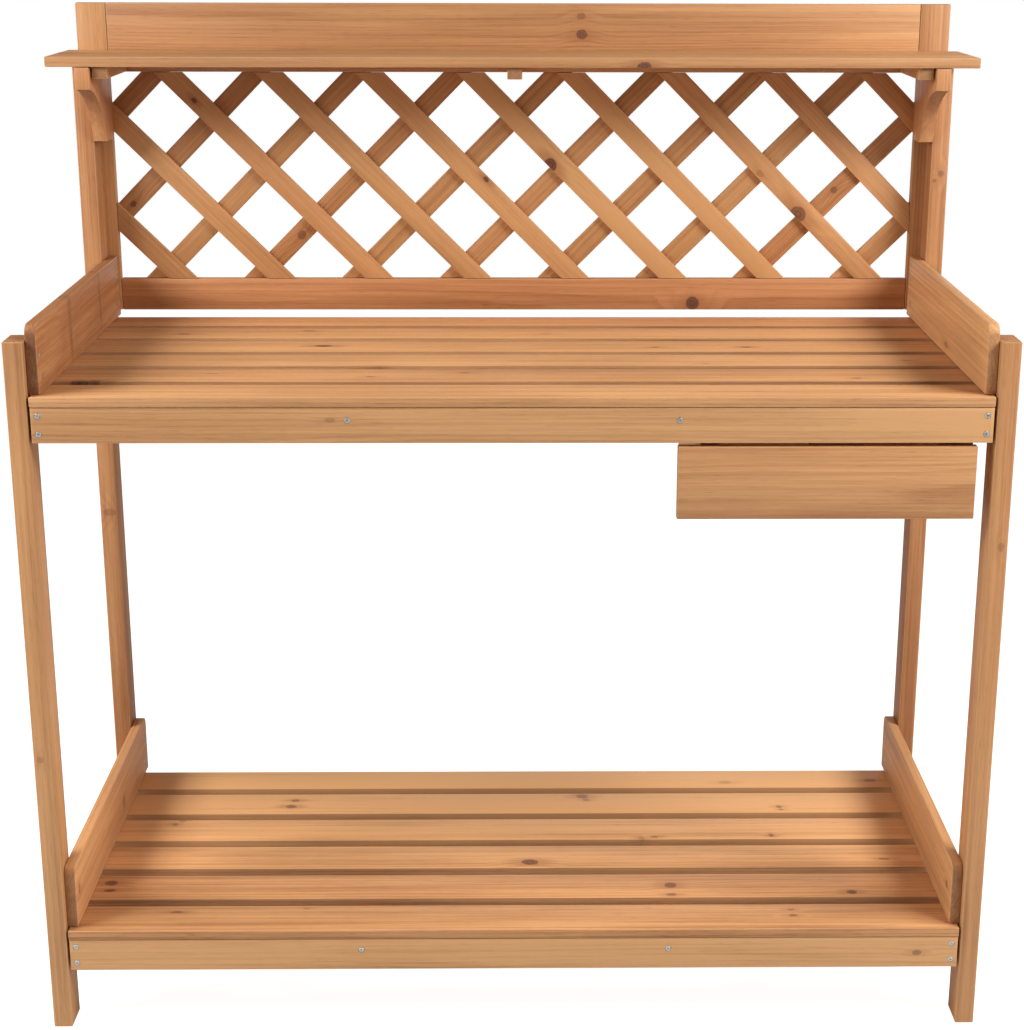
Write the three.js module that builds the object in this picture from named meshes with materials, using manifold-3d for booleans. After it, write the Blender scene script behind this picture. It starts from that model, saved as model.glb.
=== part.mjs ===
// A wooden potting bench: four legs, a slatted worktop with low side boards, a hanging drawer,
// a slatted lower shelf, and a framed lattice back that carries a small top shelf on two brackets.
// Units are millimetres. X runs to the right, Y to the back and Z up. Places are given from the front
// faces of the front legs (Y = 0) and from the ground (Z = 0), and the whole bench is then moved so
// that the origin is in the middle of its footprint.
import * as THREE from "three";
import { mergeVertices } from "three/addons/utils/BufferGeometryUtils.js";
import Module from "manifold-3d";

const wasm = await Module();
wasm.setup();

// ---------------------------------------------------------------- driving dimensions
const LEG = { outer: 560, thick: 23, deep: 42, easing: 2.5 };
const LEG_INNER = LEG.outer - LEG.thick; // half the clear width between the legs
const FRONT_LEG_HEIGHT = 847;
const REAR_LEG_FRONT = 438;
const REAR_LEG_BACK = REAR_LEG_FRONT + LEG.deep;

const SLAT = { half: 535, wide: 64, pitch: 81, thick: 12, front: -1, count: 6, lastWide: 59 };
const APRON = { half: 534.5, thick: 13, high: 41 };
const RAIL_THICK = 21; // side rails and bearers
const REAR_APRON_BACK = 462;
const BEARER_CENTRE = 184.5;
const WORKTOP_TOP = 785;
const LOWER_TOP = 130;

const SIDE_BOARD = { thick: 13, high: 79, front: 10, frontRadius: 12, backRadius: 10 };

const PANEL = { front: 480, thick: 13, top: 1187.5, bottom: 791, stile: 38.5 };
const PANEL_INNER = LEG.outer - PANEL.stile;
const TOP_BOARD_HIGH = 86.5;
const BOTTOM_RAIL_HIGH = 42;
const LATTICE = { wide: 26, period: 130, centreZ: 979, gap: 0.3, lap: 0.5 };

const SHELF = { half: 573, front: 346.5, joint: 431, back: 480, top: 1129, thick: 13 };
const SHELF_UNDER = SHELF.top - SHELF.thick;
const CLEAT = { wide: 19, high: 14.5, front: 352, side: 507.5, middle: 1 };
const BRACKET = { thick: 18, nose: 345, noseHigh: 27, foot: 436, high: 99, arcRadius: 109 };

const DRAWER = { left: 183, right: 519, bottom: 643, top: 728, front: 1, thick: 12 };
const BOX = { left: 225, right: 500, back: 305, bottom: 660.5, high: 60, wall: 10, floor: 5, floorUp: 4 };
const RUNNER = { left: 209, web: 13, ledge: 17, ledgeThick: 12, top: 773, bottom: 648, front: 14, back: 318 };
const STOP = { wide: 60, deep: 18, bottom: 716.5 };

const SCREW = { head: 6, headDeep: 2.4, shank: 3, length: 40, proud: 0.5, point: 4, clear: 0.3, sides: 16 };
const SCREW_EDGE_UP = [31.5, 10.5]; // heights of the paired end screws above the apron's lower edge
const SCREW_MIDDLE_UP = 26.5; // height of the single screw into each bearer
const ARC_STEPS = 10;

// ---------------------------------------------------------------- finishes
const finish = (color, roughness = 0.55, metalness = 0) =>
  new THREE.MeshStandardMaterial({ color, roughness, metalness });
const legWood = () => finish(0xc8935f);
const slatWood = () => finish(0xd6a06a);
const railWood = () => finish(0xc48a58);
const latticeWood = () => finish(0xbd8350);
const drawerWood = () => finish(0xcf9762);
const zincSteel = () => finish(0xb9bcc0, 0.35, 0.9);

const bench = new THREE.Group();
bench.name = "potting_bench";

function place(name, geometry, material) {
  const mesh = new THREE.Mesh(geometry, material);
  mesh.name = name;
  bench.add(mesh);
  return mesh;
}

// ---------------------------------------------------------------- shapes
// A square-edged board between two corners.
function board([x0, x1], [y0, y1], [z0, z1]) {
  return new THREE.BoxGeometry(x1 - x0, y1 - y0, z1 - z0).translate(
    (x0 + x1) / 2,
    (y0 + y1) / 2,
    (z0 + z1) / 2,
  );
}

// An outline drawn as (Y, Z), given thickness along X from x0 to x1.
function sideProfile(shape, x0, x1) {
  return new THREE.ExtrudeGeometry(shape, { depth: x1 - x0, bevelEnabled: false, curveSegments: ARC_STEPS })
    .applyMatrix4(new THREE.Matrix4().set(0, 0, 1, x0, 1, 0, 0, 0, 0, 1, 0, 0, 0, 0, 0, 1));
}

// Left and right copies of an X range.
const mirrored = (side, [near, far]) => (side > 0 ? [near, far] : [-far, -near]);
const SIDES = [["left", -1], ["right", 1]];

// ---------------------------------------------------------------- joining and cutting
function toSolid(geometry) {
  const bare = geometry.clone();
  bare.deleteAttribute("normal");
  bare.deleteAttribute("uv");
  const merged = mergeVertices(bare, 1e-4);
  return new wasm.Manifold(
    new wasm.Mesh({
      numProp: 3,
      vertProperties: merged.attributes.position.array,
      triVerts: new Uint32Array(merged.index.array),
    }),
  );
}

function toGeometry(solid) {
  const { vertProperties, triVerts } = solid.getMesh();
  const geometry = new THREE.BufferGeometry();
  geometry.setAttribute("position", new THREE.BufferAttribute(vertProperties, 3));
  geometry.setIndex(new THREE.BufferAttribute(triVerts, 1));
  geometry.computeVertexNormals();
  return geometry;
}

const cut = (geometry, cutters) =>
  toGeometry(cutters.reduce((solid, cutter) => solid.subtract(toSolid(cutter)), toSolid(geometry)));

// ---------------------------------------------------------------- legs
// The upper arrises of a front leg are eased all round, the other ends are square.
function frontLeg([x0, x1], height) {
  const e = LEG.easing;
  const outline = new THREE.Shape()
    .moveTo(x0, 0)
    .lineTo(x1, 0)
    .lineTo(x1, height - e)
    .lineTo(x1 - e, height)
    .lineTo(x0 + e, height)
    .lineTo(x0, height - e)
    .closePath();
  return new THREE.ExtrudeGeometry(outline, { depth: LEG.deep, bevelEnabled: false })
    .rotateX(Math.PI / 2)
    .translate(0, LEG.deep, 0);
}

function makeLegs() {
  for (const [word, side] of SIDES) {
    const across = mirrored(side, [LEG_INNER, LEG.outer]);
    place(`front_leg_${word}`, frontLeg(across, FRONT_LEG_HEIGHT), legWood());
    place(`rear_leg_${word}`, board(across, [REAR_LEG_FRONT, REAR_LEG_BACK], [0, SHELF_UNDER]), legWood());
  }
}

// ---------------------------------------------------------------- wood screws
// A countersunk wood screw that points to the back, its head a little proud of the face at Y = 0.
function screw(x, z, grow = 0) {
  const shank = SCREW.shank / 2 + grow;
  const head = SCREW.head / 2 + grow;
  const profile = [
    [0, -SCREW.proud - grow],
    [head, -SCREW.proud - grow],
    [head, grow],
    [shank, SCREW.headDeep + grow],
    [shank, SCREW.length - SCREW.point + grow],
    [0, SCREW.length + grow],
  ].map(([radius, along]) => new THREE.Vector2(radius, along));
  return new THREE.LatheGeometry(profile, SCREW.sides).translate(x, 0, z);
}

function apronScrews(apronBottom) {
  const edgeX = LEG_INNER - RAIL_THICK / 2;
  const places = [];
  for (const [word, side] of SIDES) {
    places.push([`${word}_upper`, side * edgeX, apronBottom + SCREW_EDGE_UP[0]]);
    places.push([`${word}_lower`, side * edgeX, apronBottom + SCREW_EDGE_UP[1]]);
    places.push([`${word}_bearer`, side * BEARER_CENTRE, apronBottom + SCREW_MIDDLE_UP]);
  }
  return places;
}

// ---------------------------------------------------------------- slatted decks
// A low board that stands on the slat ends along a side, its upper corners rounded off.
function sideBoard(x0, x1, z0, backRadius) {
  const { front, high, frontRadius } = SIDE_BOARD;
  const back = REAR_LEG_BACK;
  const top = z0 + high;
  const outline = new THREE.Shape().moveTo(front, z0).lineTo(back, z0);
  if (backRadius) {
    outline.lineTo(back, top - backRadius);
    outline.absarc(back - backRadius, top - backRadius, backRadius, 0, Math.PI / 2, false);
  } else {
    outline.lineTo(back, top);
  }
  outline.lineTo(front + frontRadius, top);
  outline.absarc(front + frontRadius, top - frontRadius, frontRadius, Math.PI / 2, Math.PI, false);
  outline.closePath();
  return sideProfile(outline, x0, x1);
}

// One deck: aprons, side rails, bearers, slats and the two side boards. Where the front apron is
// screwed on with modelled screws, it and what is behind it have holes for them.
function makeDeck(prefix, top, backRadius, withScrews) {
  const under = top - SLAT.thick;
  const upright = [under - APRON.high, under];
  const screws = withScrews ? apronScrews(upright[0]) : [];
  const holes = screws.map(([, x, z]) => screw(x, z, SCREW.clear));
  const drilled = (geometry, near) =>
    holes.length ? cut(geometry, holes.filter((_, i) => near(screws[i][1]))) : geometry;

  const frontApron = board([-APRON.half, APRON.half], [0, APRON.thick], upright);
  place(`${prefix}_front_apron`, drilled(frontApron, () => true), railWood());
  const innerRail = LEG_INNER - RAIL_THICK;
  const rearApronFront = REAR_APRON_BACK - APRON.thick;
  const rearApron = board([-innerRail, innerRail], [rearApronFront, REAR_APRON_BACK], upright);
  place(`${prefix}_rear_apron`, rearApron, railWood());

  for (const [word, side] of SIDES) {
    const railX = mirrored(side, [innerRail, LEG_INNER]);
    const rail = board(railX, [APRON.thick, REAR_LEG_BACK], upright);
    place(`${prefix}_side_rail_${word}`, drilled(rail, (x) => x > railX[0] && x < railX[1]), railWood());
    const half = RAIL_THICK / 2;
    const bearerX = mirrored(side, [BEARER_CENTRE - half, BEARER_CENTRE + half]);
    const bearer = board(bearerX, [APRON.thick, rearApronFront], upright);
    place(`${prefix}_bearer_${word}`, drilled(bearer, (x) => x > bearerX[0] && x < bearerX[1]), railWood());
    const boardX = mirrored(side, [LEG_INNER - SIDE_BOARD.thick, LEG_INNER]);
    place(`${prefix}_side_board_${word}`, sideBoard(...boardX, top, backRadius), slatWood());
  }

  for (let i = 0; i < SLAT.count; i += 1) {
    const front = SLAT.front + i * SLAT.pitch;
    const wide = i === SLAT.count - 1 ? SLAT.lastWide : SLAT.wide;
    place(`${prefix}_slat_${i + 1}`, board([-SLAT.half, SLAT.half], [front, front + wide], [under, top]), slatWood());
  }

  screws.forEach(([word, x, z]) => place(`apron_screw_${word}`, screw(x, z), zincSteel()));
}

// ---------------------------------------------------------------- lattice back
function makeBackFrame() {
  const through = [PANEL.front, PANEL.front + PANEL.thick];
  for (const [word, side] of SIDES) {
    const across = mirrored(side, [PANEL_INNER, LEG.outer]);
    place(`back_stile_${word}`, board(across, through, [PANEL.bottom, PANEL.top]), legWood());
  }
  const across = [-PANEL_INNER, PANEL_INNER];
  place("back_top_board", board(across, through, [PANEL.top - TOP_BOARD_HIGH, PANEL.top]), railWood());
  place("back_bottom_rail", board(across, through, [PANEL.bottom, PANEL.bottom + BOTTOM_RAIL_HIGH]), railWood());
}

// Slats at 45 degrees in two layers, one leaning each way, stapled where they cross. They are trimmed
// to the inside of the frame, and an opening is centred on the middle of the bench.
function latticeLayer(lean, [y0, y1]) {
  const bottom = PANEL.bottom + BOTTOM_RAIL_HIGH;
  const top = PANEL.top - TOP_BOARD_HIGH;
  const reach = Math.ceil((PANEL_INNER + (top - bottom)) / LATTICE.period);
  const length = 2 * (top - bottom);
  const slats = [];
  for (let k = -reach; k < reach; k += 1) {
    const x = (k + 0.5) * LATTICE.period;
    const slat = new THREE.BoxGeometry(LATTICE.wide, y1 - y0, length)
      .rotateY((lean * Math.PI) / 4)
      .translate(x, (y0 + y1) / 2, LATTICE.centreZ);
    slats.push(toSolid(slat));
  }
  return slats;
}

function makeLattice() {
  const middle = PANEL.front + PANEL.thick / 2;
  const back = PANEL.front + PANEL.thick;
  const slats = [
    ...latticeLayer(-1, [PANEL.front, middle + LATTICE.lap / 2]),
    ...latticeLayer(1, [middle - LATTICE.lap / 2, back]),
  ];
  const whole = slats.reduce((joined, slat) => joined.add(slat));
  const { gap } = LATTICE;
  const inner = PANEL_INNER - gap;
  const window = board(
    [-inner, inner],
    [PANEL.front, back],
    [PANEL.bottom + BOTTOM_RAIL_HIGH + gap, PANEL.top - TOP_BOARD_HIGH - gap],
  );
  place("lattice", toGeometry(whole.intersect(toSolid(window))), latticeWood());
}

// ---------------------------------------------------------------- top shelf
// A bracket: a deep block under the shelf with a cove cut from nose to foot.
function bracketOutline() {
  const { nose, noseHigh, foot, high, arcRadius } = BRACKET;
  const start = new THREE.Vector2(nose, SHELF_UNDER - noseHigh);
  const end = new THREE.Vector2(foot, SHELF_UNDER - high);
  const half = start.distanceTo(end) / 2;
  const along = end.clone().sub(start).normalize();
  // The cove bulges up and back, so the centre of its arc is down and in front of the chord.
  const toCentre = new THREE.Vector2(along.y, -along.x).multiplyScalar(Math.sqrt(arcRadius ** 2 - half ** 2));
  const centre = start.clone().add(end).multiplyScalar(0.5).add(toCentre);
  const angle = (point) => Math.atan2(point.y - centre.y, point.x - centre.x);
  const outline = new THREE.Shape().moveTo(nose, SHELF_UNDER).lineTo(start.x, start.y);
  outline.absarc(centre.x, centre.y, arcRadius, angle(start), angle(end), true);
  return outline
    .lineTo(PANEL.front, end.y)
    .lineTo(PANEL.front, SHELF_UNDER)
    .closePath();
}

function makeTopShelf() {
  const across = [-SHELF.half, SHELF.half];
  const through = [SHELF_UNDER, SHELF.top];
  place("shelf_front_board", board(across, [SHELF.front, SHELF.joint], through), slatWood());
  place("shelf_back_board", board(across, [SHELF.joint, SHELF.back], through), slatWood());

  const half = CLEAT.wide / 2;
  const cleats = [["left", -CLEAT.side], ["middle", CLEAT.middle], ["right", CLEAT.side]];
  for (const [word, x] of cleats) {
    const cleat = board([x - half, x + half], [CLEAT.front, SHELF.back], [SHELF_UNDER - CLEAT.high, SHELF_UNDER]);
    place(`shelf_cleat_${word}`, cleat, railWood());
  }

  for (const [word, side] of SIDES) {
    const [x0, x1] = mirrored(side, [LEG_INNER - BRACKET.thick, LEG_INNER]);
    place(`shelf_bracket_${word}`, sideProfile(bracketOutline(), x0, x1), railWood());
  }
}

// ---------------------------------------------------------------- drawer
// The drawer hangs between two L-shaped runners: the left one is fixed up into the slats beside the
// right bearer, the right one to the side rail.
function makeRunner(name, wall, inward) {
  const { web, ledge, ledgeThick, top, bottom, front, back } = RUNNER;
  const outline = new THREE.Shape()
    .moveTo(wall, bottom)
    .lineTo(wall + inward * (web + ledge), bottom)
    .lineTo(wall + inward * (web + ledge), bottom + ledgeThick)
    .lineTo(wall + inward * web, bottom + ledgeThick)
    .lineTo(wall + inward * web, top)
    .lineTo(wall, top)
    .closePath();
  const runner = new THREE.ExtrudeGeometry(outline, { depth: back - front, bevelEnabled: false })
    .rotateX(Math.PI / 2)
    .translate(0, back, 0);
  place(name, runner, railWood());
}

function makeDrawer() {
  makeRunner("drawer_runner_left", RUNNER.left, 1);
  makeRunner("drawer_runner_right", LEG_INNER - RAIL_THICK, -1);

  const middle = (BOX.left + BOX.right) / 2;
  const stopX = [middle - STOP.wide / 2, middle + STOP.wide / 2];
  place("drawer_stop", board(stopX, [APRON.thick, APRON.thick + STOP.deep], [STOP.bottom, RUNNER.top]), railWood());

  const boxFront = DRAWER.front + DRAWER.thick;
  const sides = [boxFront, BOX.back];
  const inside = [BOX.left + BOX.wall, BOX.right - BOX.wall];
  const upright = [BOX.bottom, BOX.bottom + BOX.high];
  const floorZ = BOX.bottom + BOX.floorUp;
  place(
    "drawer_front",
    board([DRAWER.left, DRAWER.right], [DRAWER.front, boxFront], [DRAWER.bottom, DRAWER.top]),
    drawerWood(),
  );
  place("drawer_side_left", board([BOX.left, inside[0]], sides, upright), drawerWood());
  place("drawer_side_right", board([inside[1], BOX.right], sides, upright), drawerWood());
  place("drawer_back", board(inside, [BOX.back - BOX.wall, BOX.back], upright), drawerWood());
  place("drawer_floor", board(inside, [boxFront, BOX.back - BOX.wall], [floorZ, floorZ + BOX.floor]), drawerWood());
}

// ---------------------------------------------------------------- the whole bench
makeLegs();
makeDeck("worktop", WORKTOP_TOP, 0, true);
makeDeck("lower", LOWER_TOP, SIDE_BOARD.backRadius, false);
makeBackFrame();
makeLattice();
makeTopShelf();
makeDrawer();

bench.position.y = -(SLAT.front + PANEL.front + PANEL.thick) / 2;

export default bench;
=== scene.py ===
# A softwood potting bench, built board by board over its CAD frame. Every board gets eased edges and
# grain that runs along it. The worktop's apron screws are pieces of their own, and every other row of
# screws, nails or staples is joined into one piece.
import math
import random

import bmesh
import bpy
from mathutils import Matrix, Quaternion, Vector


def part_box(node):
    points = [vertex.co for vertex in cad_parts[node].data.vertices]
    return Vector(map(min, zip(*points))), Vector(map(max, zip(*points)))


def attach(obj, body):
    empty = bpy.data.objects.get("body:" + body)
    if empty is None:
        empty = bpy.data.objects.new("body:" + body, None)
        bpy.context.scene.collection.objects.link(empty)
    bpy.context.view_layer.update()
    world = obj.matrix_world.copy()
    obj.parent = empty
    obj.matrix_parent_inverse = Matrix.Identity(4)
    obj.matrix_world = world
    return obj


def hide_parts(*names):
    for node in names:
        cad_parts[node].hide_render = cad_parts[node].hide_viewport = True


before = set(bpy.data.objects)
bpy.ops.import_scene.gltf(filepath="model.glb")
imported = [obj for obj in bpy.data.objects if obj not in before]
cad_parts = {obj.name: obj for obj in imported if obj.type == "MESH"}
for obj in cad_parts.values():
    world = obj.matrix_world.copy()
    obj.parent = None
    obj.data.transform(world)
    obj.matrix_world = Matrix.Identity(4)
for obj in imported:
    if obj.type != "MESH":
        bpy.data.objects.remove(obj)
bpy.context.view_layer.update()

MM = 0.001
X, Y, Z = Vector((1, 0, 0)), Vector((0, 1, 0)), Vector((0, 0, 1))
chance = random.Random(7)

# ------------------------------------------------------------------ camera
# Seen from in front and above, a long lens set a little off its axis.
FOCAL, SENSOR = 0.0693, 0.036
CAMERA_PLACE = (0.0073, -2.381, 1.29)
CAMERA_PITCH, CAMERA_TURN, CAMERA_ROLL = 73.22, -0.71, -0.14
CAMERA_SHIFT = (-0.0324, 0.0024)


def set_camera():
    data = bpy.data.cameras.new("bench_camera")
    data.lens = FOCAL * 1000
    data.sensor_width = SENSOR * 1000
    data.shift_x, data.shift_y = CAMERA_SHIFT
    data.clip_end = 200
    camera = bpy.data.objects.new("bench_camera", data)
    bpy.context.scene.collection.objects.link(camera)
    camera.location = CAMERA_PLACE
    camera.rotation_mode = "XYZ"
    angles = (CAMERA_PITCH, CAMERA_ROLL, CAMERA_TURN)
    camera.rotation_euler = [math.radians(angle) for angle in angles]
    bpy.context.scene.camera = camera


set_camera()


# ------------------------------------------------------------------ small bench-hook helpers
def deselect_all():
    if bpy.context.object and bpy.context.object.mode != "OBJECT":
        bpy.ops.object.mode_set(mode="OBJECT")
    bpy.ops.object.select_all(action="DESELECT")


def pick(piece):
    """Makes one piece the only one chosen and worked on."""
    deselect_all()
    piece.select_set(True)
    bpy.context.view_layer.objects.active = piece


def settle(piece):
    """Puts the object's place, turn and size into its mesh."""
    pick(piece)
    bpy.ops.object.transform_apply(location=True, rotation=True, scale=True)


def name_piece(piece, name):
    piece.name = piece.data.name = name
    return piece


def block(name, low, high):
    """A square-edged block of wood between two corners, as sawn."""
    deselect_all()
    low, high = Vector(low), Vector(high)
    bpy.ops.mesh.primitive_cube_add(size=1, location=(low + high) / 2)
    piece = name_piece(bpy.context.object, name)
    piece.scale = high - low
    settle(piece)
    return piece


def rod(name, radius, depth, place, along, sides=24):
    """A round rod centred on a place, its length lying along a direction."""
    deselect_all()
    bpy.ops.mesh.primitive_cylinder_add(vertices=sides, radius=radius, depth=depth, location=place)
    piece = name_piece(bpy.context.object, name)
    piece.rotation_mode = "QUATERNION"
    piece.rotation_quaternion = Z.rotation_difference(Vector(along))
    settle(piece)
    return piece


def start_edit(piece, mode, wanted):
    """Goes into edit mode with only the edges or faces chosen that pass wanted."""
    pick(piece)
    bpy.ops.object.mode_set(mode="EDIT")
    bpy.ops.mesh.select_mode(type=mode)
    bpy.ops.mesh.select_all(action="DESELECT")
    mesh = bmesh.from_edit_mesh(piece.data)
    for item in mesh.faces if mode == "FACE" else mesh.edges:
        item.select_set(bool(wanted(item)))
    bmesh.update_edit_mesh(piece.data)


def leave_edit():
    bpy.ops.object.mode_set(mode="OBJECT")


def apply_modifier(piece, kind, **values):
    pick(piece)
    modifier = piece.modifiers.new(kind.lower(), kind)
    for key, value in values.items():
        setattr(modifier, key, value)
    bpy.ops.object.modifier_apply(modifier=modifier.name)


def ease_edges(piece, width, segments=2):
    """Rounds every sharp arris over by a width."""
    apply_modifier(
        piece, "BEVEL", width=width, segments=segments, limit_method="ANGLE", angle_limit=math.radians(30),
    )


def carve(piece, cutter):
    """Cuts one solid out of another and throws the cutter away."""
    apply_modifier(piece, "BOOLEAN", operation="DIFFERENCE", object=cutter, solver="EXACT")
    bpy.data.objects.remove(cutter, do_unlink=True)


def round_corner(piece, place, radius):
    """Rounds the one upright-plane corner of a side board that passes through a place, as seen from
    its side: the edge there runs along X."""
    def at_corner(edge):
        a, b = (vertex.co for vertex in edge.verts)
        lies_across = abs((b - a).normalized().x) > 0.99
        middle = (a + b) / 2
        return lies_across and abs(middle.y - place[0]) < MM and abs(middle.z - place[1]) < MM

    start_edit(piece, "EDGE", at_corner)
    bpy.ops.mesh.bevel(offset=radius, segments=7, profile=0.5, affect="EDGES")
    leave_edit()


def trim(piece, place, facing):
    """Saws off what lies beyond a plane and closes the cut."""
    start_edit(piece, "FACE", lambda face: True)
    bpy.ops.mesh.bisect(plane_co=place, plane_no=facing, use_fill=True, clear_outer=True)
    leave_edit()


def smooth_by_angle(piece, degrees=35):
    pick(piece)
    bpy.ops.object.shade_smooth_by_angle(angle=math.radians(degrees))


def join_pieces(pieces, name):
    deselect_all()
    for piece in pieces:
        piece.select_set(True)
    bpy.context.view_layer.objects.active = pieces[0]
    if len(pieces) > 1:
        bpy.ops.object.join()
    return name_piece(pieces[0], name)


# ------------------------------------------------------------------ grain carried by each board
LOG_OFFSET = 0.11  # how far a board may lie from the middle of its log
HOLE_REACH, EDGE_REACH = 3.6 * MM, 1.6 * MM
SQUARE_ON, SLANTED = 0.999, 0.985  # a face looks squarely along an axis above the first, not below the second


def mark_grain(piece, along, broad, tone=0.5, warmth=0.5, pith=None, holes=(), ends=1.0, edges=0.0):
    """Writes where each point of a board lay in its log, which faces are end grain, arris or the wall of a
    hole, and how the board's colour differs from its neighbours', for the materials. The arris is lightened
    partly as wear and partly as a painted highlight, the hole walls are darkened as painted shade, and some
    tones are painted light and shade.
    ends and edges tell how much darker the end grain and the long narrow edges are; on the deck slats the
    edges' darkening is painted shade in the gaps."""
    mesh = piece.data
    along, broad = Vector(along).normalized(), Vector(broad).normalized()
    through = along.cross(broad)
    axes = (along, broad, through)
    spans = []
    for axis in axes:
        heights = [vertex.co.dot(axis) for vertex in mesh.vertices]
        spans.append((min(heights), max(heights)))
    middle = sum((axis * (low + high) / 2 for axis, (low, high) in zip(axes, spans)), Vector())
    across = pith[0] if pith else chance.uniform(-0.06, 0.06)
    depth = pith[1] if pith else chance.choice((-1, 1)) * chance.uniform(0.5, 1.0) * LOG_OFFSET
    start = chance.uniform(0, 40)

    grain = mesh.attributes.new("grain", "FLOAT_VECTOR", "POINT")
    board = mesh.attributes.new("board", "FLOAT_VECTOR", "POINT")
    marks = mesh.attributes.new("marks", "FLOAT_VECTOR", "CORNER")
    for vertex, value in zip(mesh.vertices, grain.data):
        local = vertex.co - middle
        value.vector = (local.dot(along) + start, local.dot(broad) + across, local.dot(through) + depth)
    first, last = tone if isinstance(tone, tuple) else (tone, tone)
    near, far = spans[0]
    for vertex, value in zip(mesh.vertices, board.data):
        share = (vertex.co.dot(along) - near) / (far - near)
        value.vector = (first + (last - first) * share, warmth, start / 40)
    for face in mesh.polygons:
        facing = [abs(face.normal.dot(axis)) for axis in axes]
        near_hole = any((face.center - Vector(hole)).length < HOLE_REACH for hole in holes)
        in_hole = near_hole and max(facing[1:]) < SQUARE_ON
        at_edges = sum(
            min(face.center.dot(axis) - low, high - face.center.dot(axis)) < EDGE_REACH
            for axis, (low, high) in zip(axes, spans)
        )
        # The long edges' darkening shares the end-grain mark; on the deck slats it is painted shade in the
        # gaps between them.
        end = max(0.0, ends * (2.5 * facing[0] - 1.5), edges * (facing[1] > 0.9))
        arris = 1.0 if max(facing) < SLANTED and at_edges > 1 else 0.0
        for corner in face.loop_indices:
            marks.data[corner].vector = (end, arris, 1.0 if in_hole else 0.0)


# ------------------------------------------------------------------ node groups for the wood
def new_group(name, inputs, outputs):
    """A shader node group with named inputs (name, kind, default) and outputs (name, kind)."""
    group = bpy.data.node_groups.new(name, "ShaderNodeTree")
    for label, kind, default in inputs:
        socket = group.interface.new_socket(label, in_out="INPUT", socket_type="NodeSocket" + kind)
        if default is not None:
            socket.default_value = default
    for label, kind in outputs:
        group.interface.new_socket(label, in_out="OUTPUT", socket_type="NodeSocket" + kind)
    return group


class Bench:
    """Places nodes in one tree and wires them from left to right."""

    def __init__(self, tree):
        self.tree = tree
        self.count = 0

    def node(self, kind, **settings):
        node = self.tree.nodes.new("ShaderNode" + kind)
        node.location = (self.count * 190, 0)
        self.count += 1
        for key, value in settings.items():
            setattr(node, key, value)
        return node

    def put(self, socket, value):
        if isinstance(value, bpy.types.NodeSocket):
            self.tree.links.new(value, socket)
        else:
            socket.default_value = value

    def math(self, operation, a, b=0.0, c=0.0, clamp=False):
        node = self.node("Math", operation=operation, use_clamp=clamp)
        for socket, value in zip(node.inputs, (a, b, c)):
            self.put(socket, value)
        return node.outputs[0]

    def vector(self, operation, a, b=(0, 0, 0), scale=1.0):
        node = self.node("VectorMath", operation=operation)
        self.put(node.inputs[0], a)
        if operation == "SCALE":
            self.put(node.inputs["Scale"], scale)
        elif operation != "LENGTH":
            self.put(node.inputs[1], b)
        scalar = operation in ("LENGTH", "DOT_PRODUCT", "DISTANCE")
        return node.outputs["Value" if scalar else "Vector"]

    def split(self, vector):
        node = self.node("SeparateXYZ")
        self.put(node.inputs[0], vector)
        return node.outputs

    def join(self, x, y, z):
        node = self.node("CombineXYZ")
        for socket, value in zip(node.inputs, (x, y, z)):
            self.put(socket, value)
        return node.outputs[0]

    def noise(self, vector, detail=2.0, rough=0.5, distortion=0.0, colour=False):
        node = self.node("TexNoise")
        self.put(node.inputs["Vector"], vector)
        node.inputs["Scale"].default_value = 1.0
        node.inputs["Detail"].default_value = detail
        node.inputs["Roughness"].default_value = rough
        node.inputs["Distortion"].default_value = distortion
        return node.outputs["Color" if colour else "Fac"]

    def between(self, value, low, high, to_low=0.0, to_high=1.0, smooth=True):
        node = self.node("MapRange", interpolation_type="SMOOTHSTEP" if smooth else "LINEAR")
        for socket, part in zip(node.inputs, (value, low, high, to_low, to_high)):
            self.put(socket, part)
        return node.outputs[0]

    def blend(self, factor, a, b, how="MIX"):
        node = self.node("Mix", data_type="RGBA", blend_type=how)
        self.put(node.inputs["Factor"], factor)
        self.put([s for s in node.inputs if s.name == "A" and s.type == "RGBA"][0], a)
        self.put([s for s in node.inputs if s.name == "B" and s.type == "RGBA"][0], b)
        return [s for s in node.outputs if s.type == "RGBA"][0]

    def ends(self):
        """The group's own input and output nodes."""
        return self.node_named("NodeGroupInput").outputs, self.node_named("NodeGroupOutput").inputs

    def node_named(self, idname):
        return self.tree.nodes.new(idname)

    def use(self, group, **values):
        node = self.node("Group")
        node.node_tree = group
        for key, value in values.items():
            self.put(node.inputs[key.replace("_", " ")], value)
        return node.outputs


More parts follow.
